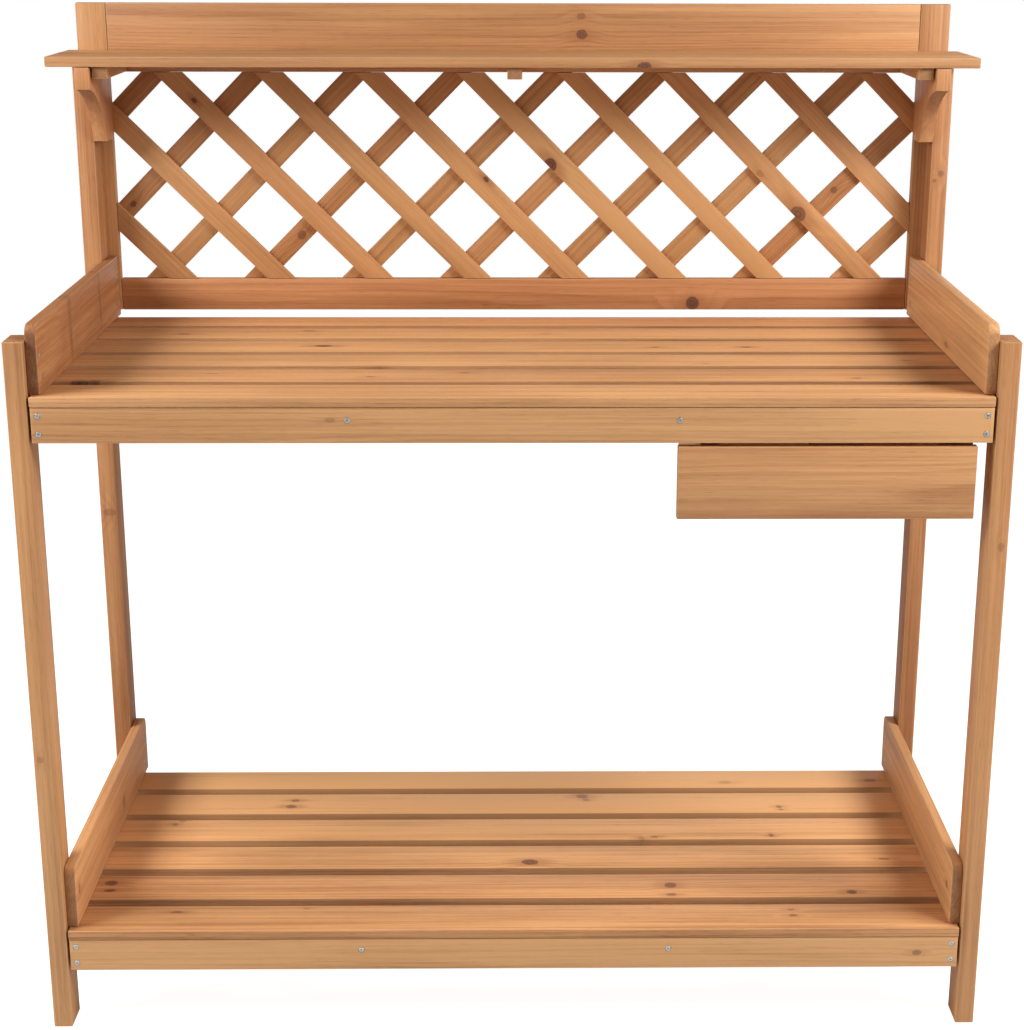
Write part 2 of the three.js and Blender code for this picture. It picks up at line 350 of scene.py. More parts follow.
def make_growth_rings():
    """Yearly rings round the pith, which wander along the log and swell round a knot."""
    group = new_group(
        "Growth Rings",
        [("Grain", "Vector", None), ("Spacing", "Float", 0.0045), ("Wander", "Float", 0.012),
         ("Knot Swell", "Float", 0.0)],
        [("Latewood", "Float"), ("Year", "Float")],
    )
    b = Bench(group)
    given, out = b.ends()
    u, v, w = b.split(given["Grain"])
    slow = b.join(b.math("MULTIPLY", u, 1.1), b.math("MULTIPLY", v, 5.0), b.math("MULTIPLY", w, 5.0))
    drift = b.vector("SUBTRACT", b.noise(slow, detail=2.0, rough=0.45, colour=True), (0.5, 0.5, 0.5))
    dx, dy, _ = b.split(b.vector("SCALE", drift, scale=given["Wander"]))
    radius = b.vector("LENGTH", b.join(0.0, b.math("ADD", v, dx), b.math("ADD", w, dy)))
    radius = b.math("ADD", radius, given["Knot Swell"])
    fine = b.join(b.math("MULTIPLY", u, 7.0), b.math("MULTIPLY", v, 70.0), b.math("MULTIPLY", w, 70.0))
    ripple = b.math("MULTIPLY", b.math("SUBTRACT", b.noise(fine, detail=1.0), 0.5), 0.0016)
    years = b.math("DIVIDE", b.math("ADD", radius, ripple), given["Spacing"])
    uneven = b.noise(b.join(b.math("MULTIPLY", years, 0.31), 0.0, 0.0), detail=1.0)
    years = b.math("ADD", years, b.math("MULTIPLY", uneven, 2.2))
    season = b.math("FRACT", years)
    rise = b.between(season, 0.25, 0.86)
    fall = b.between(season, 0.9, 1.0, 1.0, 0.0)
    strength = b.noise(b.join(b.math("FLOOR", years), 3.7, 1.9), detail=0.0)
    late = b.math("MULTIPLY", b.math("MULTIPLY", rise, fall), b.between(strength, 0.3, 0.7, 0.35, 1.0))
    b.put(out["Latewood"], late)
    b.put(out["Year"], strength)
    return group


def make_fibre():
    """Long streaks, fine fibre and short pores, all lying along the grain."""
    group = new_group(
        "Wood Fibre",
        [("Grain", "Vector", None)],
        [("Streak", "Float"), ("Fibre", "Float"), ("Pore", "Float"), ("Cloud", "Float")],
    )
    b = Bench(group)
    given, out = b.ends()
    u, v, w = b.split(given["Grain"])

    def stretched(along, across):
        scaled = [b.math("MULTIPLY", u, along), b.math("MULTIPLY", v, across), b.math("MULTIPLY", w, across)]
        return b.join(*scaled)

    b.put(out["Streak"], b.noise(stretched(1.6, 85.0), detail=3.0, rough=0.55))
    b.put(out["Fibre"], b.noise(stretched(5.0, 330.0), detail=4.0, rough=0.68))
    dashes = b.noise(stretched(55.0, 1100.0), detail=0.0)
    b.put(out["Pore"], b.between(dashes, 0.62, 0.74))
    b.put(out["Cloud"], b.noise(stretched(3.2, 14.0), detail=2.0, rough=0.5))
    return group


def make_knot():
    """One knot where a branch ran through the board: a dark heart, a stained halo and grain that swells
    round it. It adds itself to the knots before it."""
    group = new_group(
        "Knot",
        [("Point", "Vector", None), ("Centre", "Vector", (0, 0, 0)), ("Along", "Vector", (1, 0, 0)),
         ("Through", "Vector", (0, 0, 1)), ("Radius", "Float", 0.006), ("Length", "Float", 1.2),
         ("Depth", "Float", 1.0), ("Heart", "Float", 0.0), ("Halo", "Float", 0.0), ("Swell", "Float", 0.0)],
        [("Heart", "Float"), ("Halo", "Float"), ("Swell", "Float")],
    )
    b = Bench(group)
    given, out = b.ends()
    away = b.vector("SUBTRACT", given["Point"], given["Centre"])
    along = b.vector("DOT_PRODUCT", away, given["Along"])
    through = b.vector("DOT_PRODUCT", away, given["Through"])
    flat = b.vector("SUBTRACT", away, b.vector("SCALE", given["Along"], scale=along))
    flat = b.vector("SUBTRACT", flat, b.vector("SCALE", given["Through"], scale=through))
    across = b.math("DIVIDE", b.vector("LENGTH", flat), given["Radius"])
    reach = b.math("DIVIDE", along, b.math("MULTIPLY", given["Radius"], given["Length"]))
    board = b.math("DIVIDE", through, 0.045)
    distance = b.vector("LENGTH", b.join(reach, across, board))
    heart = b.math("MULTIPLY", b.between(distance, 0.72, 1.15, 1.0, 0.0), given["Depth"])
    rings = b.math("MULTIPLY", b.math("SINE", b.math("MULTIPLY", distance, 13.0)), 0.16)
    heart = b.math("SUBTRACT", heart, b.math("MULTIPLY", rings, heart), clamp=True)
    b.put(out["Heart"], b.math("MAXIMUM", heart, given["Heart"]))
    drawn_out = b.join(b.math("MULTIPLY", reach, 0.42), b.math("MULTIPLY", across, 0.8), board)
    halo = b.math("MULTIPLY", b.between(b.vector("LENGTH", drawn_out), 0.5, 1.7, 1.0, 0.0), given["Depth"])
    b.put(out["Halo"], b.math("MAXIMUM", halo, given["Halo"]))
    bump = b.join(b.math("MULTIPLY", reach, 0.3), b.math("MULTIPLY", across, 0.55), board)
    lift = b.math("MULTIPLY", b.between(b.vector("LENGTH", bump), 0.0, 1.9, 1.0, 0.0), given["Radius"])
    b.put(out["Swell"], b.math("ADD", b.math("MULTIPLY", lift, 0.7), given["Swell"]))
    return group


def make_timber():
    """Turns the rings, fibre, knots and marks of a board into its colour, gloss and relief; some marks paint
    shade and highlight into the colour.
    """
    group = new_group(
        "Timber",
        [("Grain", "Vector", None), ("Board", "Vector", None), ("Marks", "Vector", None),
         ("Pale", "Color", (0.6, 0.3, 0.12, 1)), ("Deep", "Color", (0.36, 0.15, 0.05, 1)),
         ("Ring Spacing", "Float", 0.0045), ("Ring Contrast", "Float", 0.5), ("Wander", "Float", 0.012),
         ("Heart", "Float", 0.0), ("Halo", "Float", 0.0), ("Swell", "Float", 0.0)],
        [("Colour", "Color"), ("Roughness", "Float"), ("Height", "Float")],
    )
    b = Bench(group)
    given, out = b.ends()
    rings = b.use(
        make_growth_rings(), Grain=given["Grain"], Spacing=given["Ring Spacing"], Wander=given["Wander"],
        Knot_Swell=given["Swell"],
    )
    fibre = b.use(make_fibre(), Grain=given["Grain"])
    tone, warmth, _ = b.split(given["Board"])
    end, arris, seat_shade = b.split(given["Marks"])

    depth = b.math("MULTIPLY", rings["Latewood"], given["Ring Contrast"])
    depth = b.math("ADD", depth, b.between(fibre["Streak"], 0.3, 0.72, -0.08, 0.2))
    depth = b.math("ADD", depth, b.between(fibre["Cloud"], 0.3, 0.7, -0.12, 0.14))
    depth = b.math("ADD", depth, b.between(fibre["Fibre"], 0.3, 0.7, -0.14, 0.14))
    depth = b.math("ADD", depth, b.math("MULTIPLY", b.math("SUBTRACT", 0.62, tone), 0.9))
    depth = b.math("ADD", depth, b.math("MULTIPLY", fibre["Pore"], 0.16), clamp=True)
    colour = b.blend(depth, given["Pale"], given["Deep"])

    redder = b.blend(1.0, colour, (1.03, 0.87, 0.82, 1), how="MULTIPLY")
    yellower = b.blend(1.0, colour, (0.97, 1.05, 1.02, 1), how="MULTIPLY")
    colour = b.blend(warmth, yellower, redder)
    halo = b.math("MULTIPLY", given["Halo"], 0.6)
    colour = b.blend(halo, colour, (0.36, 0.14, 0.05, 1))
    colour = b.blend(given["Heart"], colour, (0.13, 0.045, 0.025, 1))
    # The eased arris is lightened: partly wear, partly a painted highlight.
    arris_wear_and_highlight = b.math("MULTIPLY", arris, b.between(fibre["Cloud"], 0.35, 0.6, 0.1, 0.4))
    colour = b.blend(arris_wear_and_highlight, colour, (0.68, 0.38, 0.18, 1))
    # End grain is made darker and greyer; the same mark paints shade on the slats' long edges, in the gaps
    # between them.
    sawn = b.blend(1.0, colour, (0.6, 0.58, 0.6, 1), how="MULTIPLY")
    colour = b.blend(end, colour, sawn)
    # The walls of the screw seats are darkened almost to black: painted shade in the recesses.
    colour = b.blend(seat_shade, colour, (0.1, 0.045, 0.018, 1))
    b.put(out["Colour"], colour)

    rough = b.math("ADD", 0.5, b.math("MULTIPLY", rings["Latewood"], -0.05))
    rough = b.math("ADD", rough, b.between(fibre["Fibre"], 0.3, 0.7, 0.0, 0.12))
    rough = b.math("ADD", rough, b.math("MULTIPLY", end, 0.2), clamp=True)
    b.put(out["Roughness"], rough)

    height = b.math("MULTIPLY", rings["Latewood"], 0.35)
    height = b.math("ADD", height, b.math("MULTIPLY", fibre["Fibre"], 0.55))
    height = b.math("SUBTRACT", height, b.math("MULTIPLY", fibre["Pore"], 0.4))
    height = b.math("ADD", height, b.math("MULTIPLY", given["Heart"], 0.8))
    b.put(out["Height"], height)
    return group


KNOT = make_knot()
TIMBER = make_timber()


def wood(name, pale, deep, spacing=0.0045, contrast=0.5, wander=0.012, knots=(), along=X, through=Z):
    """A finish of oiled softwood. knots lists (place, radius, length, depth) of each knot, in metres."""
    material = bpy.data.materials.new(name)
    material.use_nodes = True
    tree = material.node_tree
    b = Bench(tree)
    shader = tree.nodes["Principled BSDF"]
    attribute = {}
    for label in ("grain", "board", "marks"):
        attribute[label] = b.node("Attribute", attribute_name=label).outputs["Vector"]
    place = b.node("TexCoord").outputs["Object"]
    ragged = b.noise(b.vector("SCALE", place, scale=160.0), colour=True)
    wobble = b.vector("SUBTRACT", ragged, (0.5, 0.5, 0.5))
    place = b.vector("ADD", place, b.vector("SCALE", wobble, scale=0.003))
    knot = {"Heart": 0.0, "Halo": 0.0, "Swell": 0.0}
    for centre, radius, length, depth in knots:
        knot = b.use(
            KNOT, Point=place, Centre=centre, Along=along, Through=through, Radius=radius, Length=length,
            Depth=depth, Heart=knot["Heart"], Halo=knot["Halo"], Swell=knot["Swell"],
        )
    timber = b.use(
        TIMBER, Grain=attribute["grain"], Board=attribute["board"], Marks=attribute["marks"],
        Pale=(*pale, 1), Deep=(*deep, 1), Ring_Spacing=spacing, Ring_Contrast=contrast, Wander=wander,
        Heart=knot["Heart"], Halo=knot["Halo"], Swell=knot["Swell"],
    )
    bump = b.node("Bump")
    bump.inputs["Strength"].default_value = 0.28
    bump.inputs["Distance"].default_value = 0.0007
    b.put(bump.inputs["Height"], timber["Height"])
    b.put(shader.inputs["Base Color"], timber["Colour"])
    b.put(shader.inputs["Roughness"], timber["Roughness"])
    b.put(shader.inputs["Normal"], bump.outputs["Normal"])
    shader.inputs["IOR"].default_value = 1.42
    return material


def zinc(name, colour, rough):
    """Bright zinc plate, a little blotched by the plating bath."""
    material = bpy.data.materials.new(name)
    material.use_nodes = True
    tree = material.node_tree
    b = Bench(tree)
    shader = tree.nodes["Principled BSDF"]
    place = b.node("TexCoord").outputs["Object"]
    blotch = b.noise(b.vector("SCALE", place, scale=900.0), detail=3.0)
    darker = tuple(part * 0.72 for part in colour)
    b.put(shader.inputs["Base Color"], b.blend(b.between(blotch, 0.35, 0.65), (*darker, 1), (*colour, 1)))
    b.put(shader.inputs["Roughness"], b.between(blotch, 0.3, 0.7, rough - 0.06, rough + 0.1))
    shader.inputs["Metallic"].default_value = 0.9
    return material


# ------------------------------------------------------------------ finishes
PALE, DEEP = (0.7, 0.376, 0.164), (0.34, 0.145, 0.052)
BACK_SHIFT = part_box("front_leg_left")[0][1]
DECK_TOP, LOWER_TOP = (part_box(f"{deck}_slat_1")[1].z / MM for deck in ("worktop", "lower"))
BOARD_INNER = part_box("worktop_side_board_right")[0].x / MM
DOWN_RIGHT = Vector((1, 0, -1)).normalized()
UP_RIGHT = Vector((1, 0, 1)).normalized()


def shade(colour, factor):
    return tuple(part * factor for part in colour)


def at(x, y, z):
    """A place given in millimetres, as in the part's own drawing: Y from the front of the front legs."""
    return (x * MM, y * MM + BACK_SHIFT, z * MM)


KNOT_SPREAD = 1.25  # a knot's dark heart fades out over a little more than its own radius


def knots_in(plane, spots):
    """Knots as (place, radius, length along the grain, darkness). plane places two coordinates."""
    return [
        (at(*plane(a, b)), KNOT_SPREAD * radius * MM, length, dark)
        for a, b, radius, length, dark in spots
    ]


# Each spot: its two coordinates in its plane and its radius, all in mm, how many times longer it is along
# the grain, and its darkness.
DECK_KNOTS = knots_in(lambda x, y: (x, y, DECK_TOP), [
    (-236, 276, 3.6, 2.5, 0.95), (-263, 369, 3.2, 2.0, 0.5), (-420, 350, 2.8, 2.4, 0.6),
    (-495, 77, 6.0, 1.7, 0.9), (-478, 82, 3.0, 2.0, 0.7), (286, 269, 2.6, 2.2, 0.75),
    (395, 95, 3.0, 1.6, 0.45), (174, 269, 2.4, 2.0, 0.5), (-350, 120, 2.0, 3.0, 0.3),
    (40, 352, 2.2, 3.0, 0.3), (470, 190, 2.6, 2.2, 0.4), (-161, 157, 3.4, 1.8, 0.85),
    (-165, 104, 2.2, 2.2, 0.45), (-57, 124, 2.4, 2.2, 0.4), (-16, 67, 3.2, 1.8, 0.9),
    (228, 173, 2.0, 2.4, 0.35),
])
LOWER_KNOTS = knots_in(lambda x, y: (x, y, LOWER_TOP), [
    (92, 377, 5.5, 1.2, 0.55), (97, 366, 4.0, 1.0, 0.35), (19, 178, 6.5, 1.4, 0.75),
    (195, 113, 6.0, 1.1, 0.7), (195, 88, 3.2, 1.7, 0.55), (360, 342, 3.2, 1.2, 0.5),
    (362, 333, 2.4, 1.3, 0.4), (339, 254, 3.8, 0.8, 0.6), (184, 250, 3.0, 1.4, 0.4),
    (166, 246, 3.4, 1.2, 0.32), (420, 93, 4.2, 1.3, 0.8), (339, 33, 2.6, 1.8, 0.6),
    (338, 48, 2.2, 1.8, 0.5), (476, 184, 1.8, 3.2, 0.6), (-507, 124, 5.5, 1.2, 0.8),
    (-505, 104, 3.0, 2.0, 0.75), (-455, 292, 3.2, 1.0, 0.5), (-447, 303, 3.0, 1.4, 0.35),
    (-412, 47, 2.6, 2.4, 0.6), (-306, 347, 4.4, 1.4, 0.6), (-302, 366, 3.2, 1.6, 0.55),
    (-255, 55, 1.6, 2.5, 0.35), (499, 427, 3.6, 2.0, 0.5), (294, 422, 4.0, 1.8, 0.25),
])
FRONT_KNOTS = knots_in(lambda x, z: (x, 1, z), [
    (485, 97, 3.0, 1.6, 0.5), (-204, 759, 2.2, 2.5, 0.3),
]) + knots_in(lambda x, z: (x, 480, z), [
    (86, 1172, 3.6, 1.3, 0.45), (87, 1149, 5.2, 1.2, 0.8), (237, 800, 7.2, 1.0, 0.95),
]) + knots_in(lambda x, z: (x, 347, z), [(160, 1118, 4.5, 1.6, 0.85)])
LATH_KNOTS = knots_in(lambda x, z: (x, 480, z), [
    (47, 983, 6.4, 1.2, 1.0), (374, 919, 7.6, 1.2, 0.75), (-37, 964, 2.6, 1.5, 0.9),
    (-414, 1065, 2.8, 1.2, 0.9), (322, 972, 3.0, 1.6, 0.3), (-170, 905, 2.4, 2.0, 0.35),
])
BACK_LATH_KNOTS = knots_in(lambda x, z: (x, 487, z), [
    (-501, 931, 3.0, 1.3, 0.8), (-281, 890, 4.6, 1.1, 0.65), (421, 950, 3.8, 1.0, 0.6),
])
SIDE_KNOTS = knots_in(lambda y, z: (-BOARD_INNER, y, z), [
    (181, 842, 46, 0.16, 0.32), (352, 842, 42, 0.1, 0.4), (306, 158, 7, 0.4, 0.6), (29, 172, 6, 0.5, 0.5),
]) + knots_in(lambda y, z: (BOARD_INNER, y, z), [(36, 170, 4, 1.0, 0.6), (224, 797, 3, 3.0, 0.4)])
LEG_KNOTS = knots_in(lambda x, z: (x, 438, z), [
    (551, 977, 3.4, 1.0, 0.5), (-548, 522, 7.5, 0.6, 0.35), (543, 968, 2.4, 1.0, 0.5),
]) + knots_in(lambda x, z: (x, 0, z), [(-552, 352, 3.0, 1.2, 0.3), (552, 610, 3.2, 1.4, 0.35)])

# A darker copy of the pale colour for the upright boards: painted shade that makes upright faces darker than
# the decks.
SHADED_UPRIGHT_PALE = shade(PALE, 0.92)
LEG_WOOD = wood(
    "leg_fir", SHADED_UPRIGHT_PALE, DEEP, spacing=0.0036, contrast=0.2, knots=LEG_KNOTS, along=Z, through=Y,
)
DECK_WOOD = wood("slat_fir", shade(PALE, 1.06), DEEP, contrast=0.22, knots=DECK_KNOTS)
# The lower deck's lighter copy of the pale colour is painted light for the deck under the worktop.
LOWER_WOOD = wood("lower_slat_fir", shade(PALE, 1.18), DEEP, contrast=0.22, knots=LOWER_KNOTS)
RAIL_WOOD = wood(
    "rail_fir", SHADED_UPRIGHT_PALE, DEEP, spacing=0.003, contrast=0.24, wander=0.016, knots=FRONT_KNOTS, through=Y,
)
SIDE_WOOD = wood("side_board_fir", PALE, DEEP, contrast=0.28, knots=SIDE_KNOTS, along=Y, through=X)
LATH_WOOD = wood(
    "lath_fir", SHADED_UPRIGHT_PALE, DEEP, spacing=0.0032, contrast=0.22, knots=LATH_KNOTS, along=DOWN_RIGHT,
    through=Y,
)
BACK_LATH_WOOD = wood(
    "back_lath_fir", SHADED_UPRIGHT_PALE, DEEP, spacing=0.0032, contrast=0.26, knots=BACK_LATH_KNOTS,
    along=UP_RIGHT, through=Y,
)
SHELF_WOOD = wood("shelf_fir", SHADED_UPRIGHT_PALE, DEEP, contrast=0.2, knots=FRONT_KNOTS[-1:], through=Y)
DRAWER_WOOD = wood("drawer_fir", SHADED_UPRIGHT_PALE, DEEP, spacing=0.0042, contrast=0.24, wander=0.034, through=Y)
ZINC = zinc("zinc_plate", (0.74, 0.75, 0.74), 0.42)

# How light (tone) and how red (warmth) the boards are that stand out from their neighbours; some of these
# tones are painted light and shade, as noted below. A pair of tones runs from the board's left, front or
# lower end to its other end.
BOARD_LOOKS = {
    # The left worktop side board is given a very low tone: painted shade on its inner face.
    "worktop_side_board_left": (-0.16, 0.7), "worktop_side_board_right": (0.5, 0.5),
    "lower_side_board_left": (0.55, 0.7), "lower_side_board_right": (0.45, 0.6),
    "back_bottom_rail": ((0.3, 0.06), 0.9), "back_top_board": ((-0.04, 0.4), 0.5),
    "drawer_front": (0.32, 0.55),
    "worktop_front_apron": ((0.32, 0.8), 0.4), "lower_front_apron": ((0.56, 0.68), 0.35),
    "shelf_front_board": ((0.26, 0.56), 0.55), "shelf_back_board": (0.3, 0.6),
    "back_stile_left": (0.26, 0.5), "back_stile_right": (0.04, 0.5),
    # The legs' tones are partly painted light and shade: the front legs are lighter at their lower ends and
    # darker at their upper ends, and the rear legs are set darker.
    "front_leg_left": ((0.46, 0.0), 0.45), "front_leg_right": ((0.36, 0.0), 0.55),
    "rear_leg_left": ((-0.14, 0.16), 0.6), "rear_leg_right": ((-0.04, -0.12), 0.65),
    "worktop_slat_1": ((0.52, 0.4), 0.5), "worktop_slat_2": (0.4, 0.6), "worktop_slat_3": (0.5, 0.5),
    "worktop_slat_4": (0.52, 0.5), "worktop_slat_5": (0.48, 0.5), "worktop_slat_6": (0.22, 0.6),
    # The lower slats grow lighter from front to back: painted shade on the front slats and painted light on
    # the rear ones, which lie in the worktop's shadow.
    "lower_slat_1": (0.2, 0.5), "lower_slat_2": (0.28, 0.6), "lower_slat_3": (0.48, 0.5),
    "lower_slat_4": (0.66, 0.45), "lower_slat_5": (0.8, 0.4), "lower_slat_6": (0.95, 0.35),
    "shelf_bracket_left": (0.25, 0.85), "shelf_bracket_right": (0.3, 0.75),
}

# ------------------------------------------------------------------ finishing a piece
SKIN = 0.25 * MM  # clearance that keeps neighbouring boards apart


def finish(piece, body, slot, material, *nodes):
    """Gives a shaped piece its material and its body, and hides the CAD nodes it stands for."""
    piece.data.materials.clear()
    piece.data.materials.append(material)
    smooth_by_angle(piece)
    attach(piece, body)
    if nodes:
        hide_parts(*nodes)


def look_of(node):
    tone, warmth = BOARD_LOOKS.get(node, (chance.uniform(0.5, 0.68), chance.uniform(0.35, 0.75)))
    return {"tone": tone, "warmth": warmth}


def sawn(node):
    """The square block that a straight board is made from, a hair inside its CAD node."""
    low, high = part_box(node)
    skin = Vector((SKIN, SKIN, SKIN))
    return block(node + "_timber", low + skin, high - skin)


def drill(piece, places, facing):
    """Sinks a shallow round seat for each screw head."""
    for place in places:
        carve(piece, rod("seat", SCREW_SEAT, 2 * SEAT_DEEP, place, facing))


def plain_board(
    node, body, slot, material, along, broad, ease=1.0 * MM, holes=(), facing=Y, pith=None, ends=1.0,
    edges=0.0,
):
    """A straight board over its CAD node, with eased edges and its screw seats."""
    piece = sawn(node)
    ease_edges(piece, ease * chance.uniform(0.8, 1.3))
    drill(piece, holes, facing)
    mark_grain(piece, along, broad, pith=pith, holes=holes, ends=ends, edges=edges, **look_of(node))
    finish(piece, body, slot, material, node)
    return piece


# ------------------------------------------------------------------ screws and staples
SCREW_HEAD, SCREW_SHANK = 3.1 * MM, 1.5 * MM
LONG_SCREW, SHORT_SCREW = 38 * MM, 20 * MM
SCREW_SEAT, SEAT_DEEP = 3.5 * MM, 1.1 * MM
HEAD_RIM, HEAD_CONE, POINT = 0.7 * MM, 2.0 * MM, 5 * MM
RECESS_LONG, RECESS_WIDE, RECESS_DEEP = 3.5 * MM, 0.9 * MM, 1.3 * MM


def forge_screw(length):
    """A countersunk wood screw with a cross recess, its head at the origin and facing up."""
    screw = rod("screw_pattern", SCREW_HEAD, HEAD_RIM, (0, 0, -HEAD_RIM / 2), Z)
    start_edit(screw, "EDGE", lambda edge: all(abs(v.co.z) < HEAD_RIM / 9 for v in edge.verts))
    bpy.ops.mesh.bevel(offset=HEAD_RIM * 0.6, segments=3, affect="EDGES")
    leave_edit()
    start_edit(screw, "FACE", lambda face: face.normal.z < -0.9)
    stages = ((HEAD_CONE, SCREW_SHANK / SCREW_HEAD), (length - HEAD_CONE - POINT, 1.0), (POINT, 0.08))
    for drop, squeeze in stages:
        bpy.ops.mesh.extrude_region_move(TRANSFORM_OT_translate={"value": (0, 0, -drop)})
        bpy.ops.transform.resize(value=(squeeze, squeeze, 1), center_override=(0, 0, 0))
    leave_edit()
    deep = Vector((0, 0, RECESS_DEEP))
    for half in ((RECESS_LONG, RECESS_WIDE, 0), (RECESS_WIDE, RECESS_LONG, 0)):
        corner = Vector(half) / 2
        carve(screw, block("recess", -corner - deep, corner + deep))
    return screw


SCREWS = {length: forge_screw(length) for length in (LONG_SCREW, SHORT_SCREW)}


def drive_screw(name, place, facing, length=LONG_SCREW):
    """Drives a copy of a screw home at a place, its head looking in a direction."""
    screw = SCREWS[length].copy()
    screw.data = screw.data.copy()
    bpy.context.scene.collection.objects.link(screw)
    name_piece(screw, name)
    screw.rotation_mode = "QUATERNION"
    screw.rotation_quaternion = Z.rotation_difference(Vector(facing)) @ Quaternion(Z, chance.uniform(0, 3))
    screw.location = place
    settle(screw)
    return screw


def drive_row(name, body, places, facing, length=LONG_SCREW):
    """A row of screws that makes one piece."""
    screws = [drive_screw(f"{name}_{i}", place, facing, length) for i, place in enumerate(places)]
    finish(join_pieces(screws, name), body, "screw_steel", ZINC)


# ------------------------------------------------------------------ the bench, part by part
HEAD_PROUD = 0.35 * MM
# How much darker some end grain and narrow edges are than the rest, from 0 to 1. On the deck slats behind the
# front one, the edges' darkening is painted shade in the gaps between slats.
LEG_END_DARK, SLAT_GAP_SHADE, NOSE_DARK, SHELF_NOSE_DARK = 0.3, 0.9, 0.4, 0.4
RIGHT_BOARD_END_DARK = 0.4


def make_legs():
    for side in ("left", "right"):
        for row, ease in (("front", 1.4 * MM), ("rear", 1.2 * MM)):
            plain_board(
                f"{row}_leg_{side}", "bench", "leg_wood", LEG_WOOD, Z, X, ease=ease, ends=LEG_END_DARK,
            )


def apron_screw_places(prefix):
    """Two screws at each end of a front apron and one into each bearer. The worktop's are where its CAD
    screws are, and the lower apron has the same pattern."""
    low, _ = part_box(f"{prefix}_front_apron")
    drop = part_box("worktop_front_apron")[0].z - low.z
    places = {}
    for side in ("left", "right"):
        for where in ("upper", "lower", "bearer"):
            screw_low, screw_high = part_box(f"apron_screw_{side}_{where}")
            middle = (screw_low + screw_high) / 2
            places[f"{side}_{where}"] = Vector((middle.x, low.y + SKIN, middle.z - drop))
    return places


def make_front_apron(prefix):
    places = apron_screw_places(prefix)
    plain_board(
        f"{prefix}_front_apron", "bench", "rail_wood", RAIL_WOOD, X, Z, holes=list(places.values()),
        pith=(0.03, -0.055),
    )
    proud = [place - Y * HEAD_PROUD for place in places.values()]
    if prefix == "lower":
        drive_row("lower_apron_screws", "bench", proud, -Y)
        return
    for (label, _), place in zip(places.items(), proud):
        screw = drive_screw(f"apron_screw_{label}_steel", place, -Y)
        finish(screw, "bench", "screw_steel", ZINC, f"apron_screw_{label}")


# Screws on the inside of a side board: how far back from its front end, and how far up.
FRONT_SIDE_SCREWS, REAR_SIDE_SCREWS = ((14, 42), (19, 18)), ((447, 19), (452, 52))
# Screws through a side rail into the legs: how far back, and how far up from its lower edge.
RAIL_SCREWS_BACK, RAIL_SCREWS_UP = (29, 459), (11, 30)


def make_side_board(prefix, side):
    """A board on edge across the slat ends, its top corners rounded, screwed to the legs."""
    node = f"{prefix}_side_board_{side}"
    piece = sawn(node)
    low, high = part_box(node)
    round_corner(piece, (low.y + SKIN, high.z - SKIN), 12 * MM)
    if prefix == "lower":
        round_corner(piece, (high.y - SKIN, high.z - SKIN), 10 * MM)
    ease_edges(piece, 1.1 * MM)
    inward = 1 if side == "left" else -1
    face = high.x - SKIN if side == "left" else low.x + SKIN
    spots = REAR_SIDE_SCREWS + (FRONT_SIDE_SCREWS if node == "worktop_side_board_left" else ())
    places = [Vector((face, low.y + along * MM, low.z + up * MM)) for along, up in spots]
    drill(piece, places, X)
    # The right worktop side board's end grain is darkened less than the other boards' end grain.
    ends = RIGHT_BOARD_END_DARK if node == "worktop_side_board_right" else 1.0
    mark_grain(piece, Y, Z, holes=places, ends=ends, **look_of(node))
    finish(piece, "bench", "slat_wood", SIDE_WOOD, node)
    drive_row(f"{node}_screws", "bench", places, X * inward, SHORT_SCREW)


def make_deck(prefix, material):
    make_front_apron(prefix)
    plain_board(f"{prefix}_rear_apron", "bench", "rail_wood", RAIL_WOOD, X, Z)
    for side, sign in (("left", -1), ("right", 1)):
        make_side_board(prefix, side)
        plain_board(f"{prefix}_bearer_{side}", "bench", "rail_wood", RAIL_WOOD, Y, Z)
        node = f"{prefix}_side_rail_{side}"
        low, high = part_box(node)
        face = high.x - SKIN if sign < 0 else low.x + SKIN
        places = [
            Vector((face, y, low.z + up * MM))
            for y in (at(0, back, 0)[1] for back in RAIL_SCREWS_BACK) for up in RAIL_SCREWS_UP
        ]
        plain_board(node, "bench", "rail_wood", RAIL_WOOD, Y, Z, holes=places, facing=X)
        drive_row(f"{node}_screws", "bench", places, -X * sign)
    for i in range(1, 7):
        # Slats 2 to 6 get painted shade on their long edges, for the gaps between slats.
        edges = NOSE_DARK if i == 1 else SLAT_GAP_SHADE
        plain_board(f"{prefix}_slat_{i}", "bench", "slat_wood", material, X, Y, edges=edges)


LATH_WIDE, LATH_PERIOD, LATH_THICK, LATH_LONG = 26 * MM, 130 * MM, 6.4 * MM, 460 * MM
LATH_COUNT = 10
LATTICE_RISE = 12 * MM  # the crossings stand this much above the middle of the opening


def make_lath(name, x, y_front, lean, material, tone, warmth):
    """One lattice slat through the middle height of the opening, leaning left or right by 45 degrees and
    trimmed to the frame."""
    low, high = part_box("lattice")
    middle = Vector((x, y_front + LATH_THICK / 2, (low.z + high.z) / 2 + LATTICE_RISE))
    half = Vector((LATH_WIDE, LATH_THICK, LATH_LONG)) / 2
    lath = block(name, -half, half)
    lath.rotation_mode = "QUATERNION"
    lath.rotation_quaternion = Quaternion(Y, math.radians(45) * lean)
    lath.location = middle
    settle(lath)
    for place, facing in ((low, -X), (low, -Z), (high, X), (high, Z)):
        trim(lath, place, facing)
    ease_edges(lath, 0.4 * MM)
    along = Vector((1, 0, lean)).normalized()
    broad = Vector((lean, 0, -1)).normalized()
    mark_grain(lath, along, broad, tone=tone, warmth=warmth)
    finish(lath, "bench", "lattice_wood", material, "lattice")


